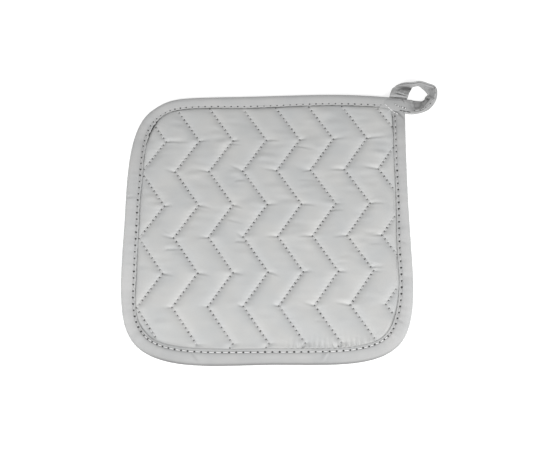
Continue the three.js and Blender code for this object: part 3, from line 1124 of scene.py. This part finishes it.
def hanging_loop(finish):
    hole, outer, thick = loop_rails()
    along = unit(np.gradient(hole + outer, axis=0))
    across = outer - hole
    up = unit(np.cross(across, along))
    station = np.arange(len(hole)) / LOOP_STEPS
    near_hole, near_edge = eased(station, LOOP_PAINTED_SHADE)
    section = loop_section()
    rings = []
    painted_shade = []
    for share, side, raised in section:
        relief = np.maximum(loop_relief(station, share), -LOOP_FLOOR * thick[:, 0])
        out = side * thick[:, 0] / 2 + raised * relief * abs(side)
        rings.append(hole + across * share + up * out[:, None])
        # painted shade in the creases of the loop's seen side
        folds = np.clip(-0.9 * loop_folds(station, share), 0, 1.2) ** 1.5
        painted_shade.append(near_hole + (near_edge - near_hole) * share + raised * folds)
    points = np.stack(rings, axis=1)
    count, size, _ = points.shape
    ends = [list(range(size)), list(range((count - 1) * size, count * size))[::-1]]
    run = np.broadcast_to(run_along(hole)[:, None], (count, size))
    width = LOOP_SCALE[1] * np.array([share for share, _, _ in section])
    cloth = np.stack((run, np.broadcast_to(width, run.shape), 0 * run), axis=-1).reshape(-1, 3)
    points = points.reshape(-1, 3)
    faces = facing_out(points, ring_faces(count, size, False).tolist() + ends)
    # the seam field carries the loop's painted shade
    fields = {"cloth": cloth, "seam": np.stack(painted_shade, axis=1).ravel()}
    made = piece("hanging_loop_tape", points, faces, finish, "hanging_loop", "binding_tape", fields)


# Finishes.


class Value:
    """A shader value; arithmetic on it adds Math nodes to its finish."""

    def __init__(self, finish, socket):
        self.finish = finish
        self.socket = socket

    def math(self, operation, first, second=0.0):
        return self.finish.node("ShaderNodeMath", {"operation": operation}, {0: first, 1: second})

    def __add__(self, other):
        return self.math("ADD", self, other)

    def __sub__(self, other):
        return self.math("SUBTRACT", self, other)

    def __rsub__(self, other):
        return self.math("SUBTRACT", other, self)

    def __mul__(self, other):
        return self.math("MULTIPLY", self, other)

    __radd__ = __add__
    __rmul__ = __mul__

    def sine(self):
        return self.math("SINE", self)


class Finish:
    """A material whose nodes are made one by one."""

    def __init__(self, name):
        self.material = bpy.data.materials.new(name)
        self.material.use_nodes = True
        self.tree = self.material.node_tree
        self.shader = self.tree.nodes["Principled BSDF"]

    def feed(self, socket, value):
        if isinstance(value, Value):
            self.tree.links.new(value.socket, socket)
        else:
            socket.default_value = value

    def node(self, kind, settings=None, inputs=None, output=0):
        made = self.tree.nodes.new(kind)
        for name, value in (settings or {}).items():
            setattr(made, name, value)
        for name, value in (inputs or {}).items():
            self.feed(made.inputs[name], value)
        return Value(self, made.outputs[output])

    def set(self, **values):
        for name, value in values.items():
            self.feed(self.shader.inputs[name.replace("_", " ")], value)

    def field(self, name, output="Fac"):
        return self.node("ShaderNodeAttribute", {"attribute_name": name}, output=output)

    def split(self, vector):
        return [self.node("ShaderNodeSeparateXYZ", {}, {0: vector}, axis) for axis in range(3)]

    def noise(self, scale, place, detail=2.0):
        inputs = {"Vector": place, "Scale": scale, "Detail": detail}
        return self.node("ShaderNodeTexNoise", {}, inputs)

    def stretched(self, value, low, high):
        """A value whose range from low to high becomes 0 to 1."""
        return self.node("ShaderNodeMapRange", {}, {0: value, 1: low, 2: high})

    def mix(self, share, first, second, blend="MIX"):
        settings = {"data_type": "RGBA", "blend_type": blend}
        return self.node("ShaderNodeMix", settings, {0: share, 6: first, 7: second}, 2)

    def bump(self, height, strength, distance):
        inputs = {"Height": height, "Strength": strength, "Distance": distance}
        return self.node("ShaderNodeBump", {}, inputs)


def grey(level):
    return (level, level, level, 1)


YARN = 0.4  # pitch of the weave in millimetres
WEAVE_RELIEF = 0.00008  # metres
SEAM_AND_SHADE_DARK = 0.12  # how light the cloth is where its seam field is full, as a share of the clean cloth: painted shade and darker stitch lines
# The cooler and the warmer tint of each cloth.
COAT_TINTS = ((0.954, 0.97, 0.972), (1.029, 1.03, 1.013))
TAPE_TINTS = ((0.96, 0.97, 0.973), (1.031, 1.03, 1.023))


def cloth_finish(name, level, tints, roughness, seam_and_painted_shade):
    """Plain-woven cloth under a thin silver-grey coat, in patches of two tints of one grey."""
    finish = Finish(name)
    lay = finish.field("cloth", "Vector")
    warp, weft, _ = finish.split(lay)
    turn = 2 * np.pi / YARN
    weave = (warp * turn).sine() * (weft * turn).sine()
    fine = finish.noise(scale=3.0, place=lay, detail=4.0)
    patches = finish.noise(scale=0.045, place=lay)
    cool, warm = [(*(level * part for part in tint), 1) for tint in tints]
    tint = finish.mix(finish.stretched(patches, 0.35, 0.65), cool, warm)
    grain = finish.mix(fine, grey(0.93), grey(1.07))
    clean = finish.mix(1.0, tint, grain, "MULTIPLY")
    # The seam field darkens the colour: painted shade in gaps, creases, grooves and on sides turned
    # from the light, and slightly darker stitch lines.
    seam = finish.field("seam")
    finish.set(
        Base_Color=finish.mix(seam * seam_and_painted_shade, clean, grey(level * SEAM_AND_SHADE_DARK)),
        Roughness=roughness + (fine - 0.5) * 0.15,
        Sheen_Weight=0.15,
        Sheen_Roughness=0.4,
        Normal=finish.bump(weave + fine * 0.8, 0.25, WEAVE_RELIEF),
    )
    return finish.material


def thread_finish(name, level):
    finish = Finish(name)
    lay = finish.node("ShaderNodeTexCoord", output="Object")
    twist = finish.noise(scale=2500.0, place=lay, detail=1.0)
    finish.set(
        Base_Color=finish.mix(twist, grey(level * 0.9), grey(level * 1.05)),
        Roughness=0.55,
        Normal=finish.bump(twist, 0.5, 0.0001),
    )
    return finish.material


def hole_shade_finish():
    finish = Finish("needle_hole_painted_shade")
    lay = finish.node("ShaderNodeTexCoord", output="Object")
    lint = finish.noise(scale=3000.0, place=lay, detail=1.0)
    # near black: painted shade inside the needle holes
    finish.set(Base_Color=finish.mix(lint, grey(0.03), grey(0.07)), Roughness=0.9)
    return finish.material


coated = cloth_finish("silver_grey_coated_cloth", 0.375, COAT_TINTS, 0.5, seam_and_painted_shade=0.042)
taped = cloth_finish("silver_grey_tape", 0.393, TAPE_TINTS, 0.55, seam_and_painted_shade=0.34)
# the loop's tape: a copy of the tape finish with more painted shade
loop_tape_shade_finish = cloth_finish("loop_tape_with_painted_shade", 0.365, TAPE_TINTS, 0.55, seam_and_painted_shade=0.72)
thread = thread_finish("grey_thread", 0.42)
# A paler copy of the grey thread, a painted highlight: on the topstitches along the edge opposite the
# loop and on the stitches at the square corner.
thread_with_painted_highlight = thread_finish("thread_with_painted_highlight", 0.6)
hole_shade = hole_shade_finish()

quilted_panel(coated)
binding(taped)
hanging_loop(loop_tape_shade_finish)
quilting(thread, hole_shade)
topstitching(thread, thread_with_painted_highlight, hole_shade)
# the stitches at the square corner get the paler thread, a painted highlight
corner_stitching(thread_with_painted_highlight, thread, hole_shade)


# The table, lights and camera. Sizes and places are metres of the frame, apart from the camera's.

TABLE_HALF = 3.0
TABLE_BELOW = 0.0003  # how far the table is under the pot holder
BACKDROP = 0.48  # how bright it is
# Each lamp's name, place and power.
LAMPS = (
    ("window", (0.497, -0.552, 0.669), 9.14),
    ("fill", (-0.473, -0.473, 0.602), 5.26),
)
LAMP_WIDTH = 0.45
CAMERA_PLACE = (3.673, -213.786, 604.268)  # in this part's millimetres
CAMERA_TURN = (19.445, 0.345, -0.744)  # degrees about x, y and z
FOCAL_LENGTH = 60.69
FILM_WIDTH = 36


def table():
    mesh = bpy.data.meshes.new("table")
    level = cad_box[0].z - TABLE_BELOW
    near, far = -TABLE_HALF, TABLE_HALF
    corners = [(near, near, level), (far, near, level), (far, far, level), (near, far, level)]
    mesh.from_pydata(corners, [], [(0, 1, 2, 3)])
    finish = Finish("pale_table")
    finish.set(
        Base_Color=grey(0.5),
        Roughness=0.9,
        Emission_Color=grey(1),
        Emission_Strength=0.65,
    )
    mesh.materials.append(finish.material)
    made = in_scene("table", mesh)
    made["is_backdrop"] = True


def studio():
    """A white backdrop and two soft lamps that look at the middle of the pot holder."""
    world = bpy.data.worlds.new("studio")
    world.use_nodes = True
    backdrop = world.node_tree.nodes["Background"]
    backdrop.inputs["Color"].default_value = grey(1)
    backdrop.inputs["Strength"].default_value = BACKDROP
    bpy.context.scene.world = world
    for name, place, power in LAMPS:
        lamp = bpy.data.lights.new(name, "AREA")
        lamp.shape = "DISK"
        lamp.size = LAMP_WIDTH
        lamp.energy = power
        made = in_scene(name, lamp)
        made.location = place
        made.rotation_euler = (-Vector(place)).to_track_quat("-Z", "Y").to_euler()
    bpy.context.scene.view_settings.view_transform = "Standard"


def camera():
    lens = bpy.data.cameras.new("camera")
    lens.lens = FOCAL_LENGTH
    lens.sensor_width = FILM_WIDTH
    made = in_scene("camera", lens)
    made.location = placed(CAMERA_PLACE)
    made.rotation_euler = np.radians(CAMERA_TURN)
    bpy.context.scene.camera = made


table()
studio()
camera()

boxes = {"cad": cad_box, "visual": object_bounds()}
{name: [list(corner) for corner in box] for name, box in boxes.items()}
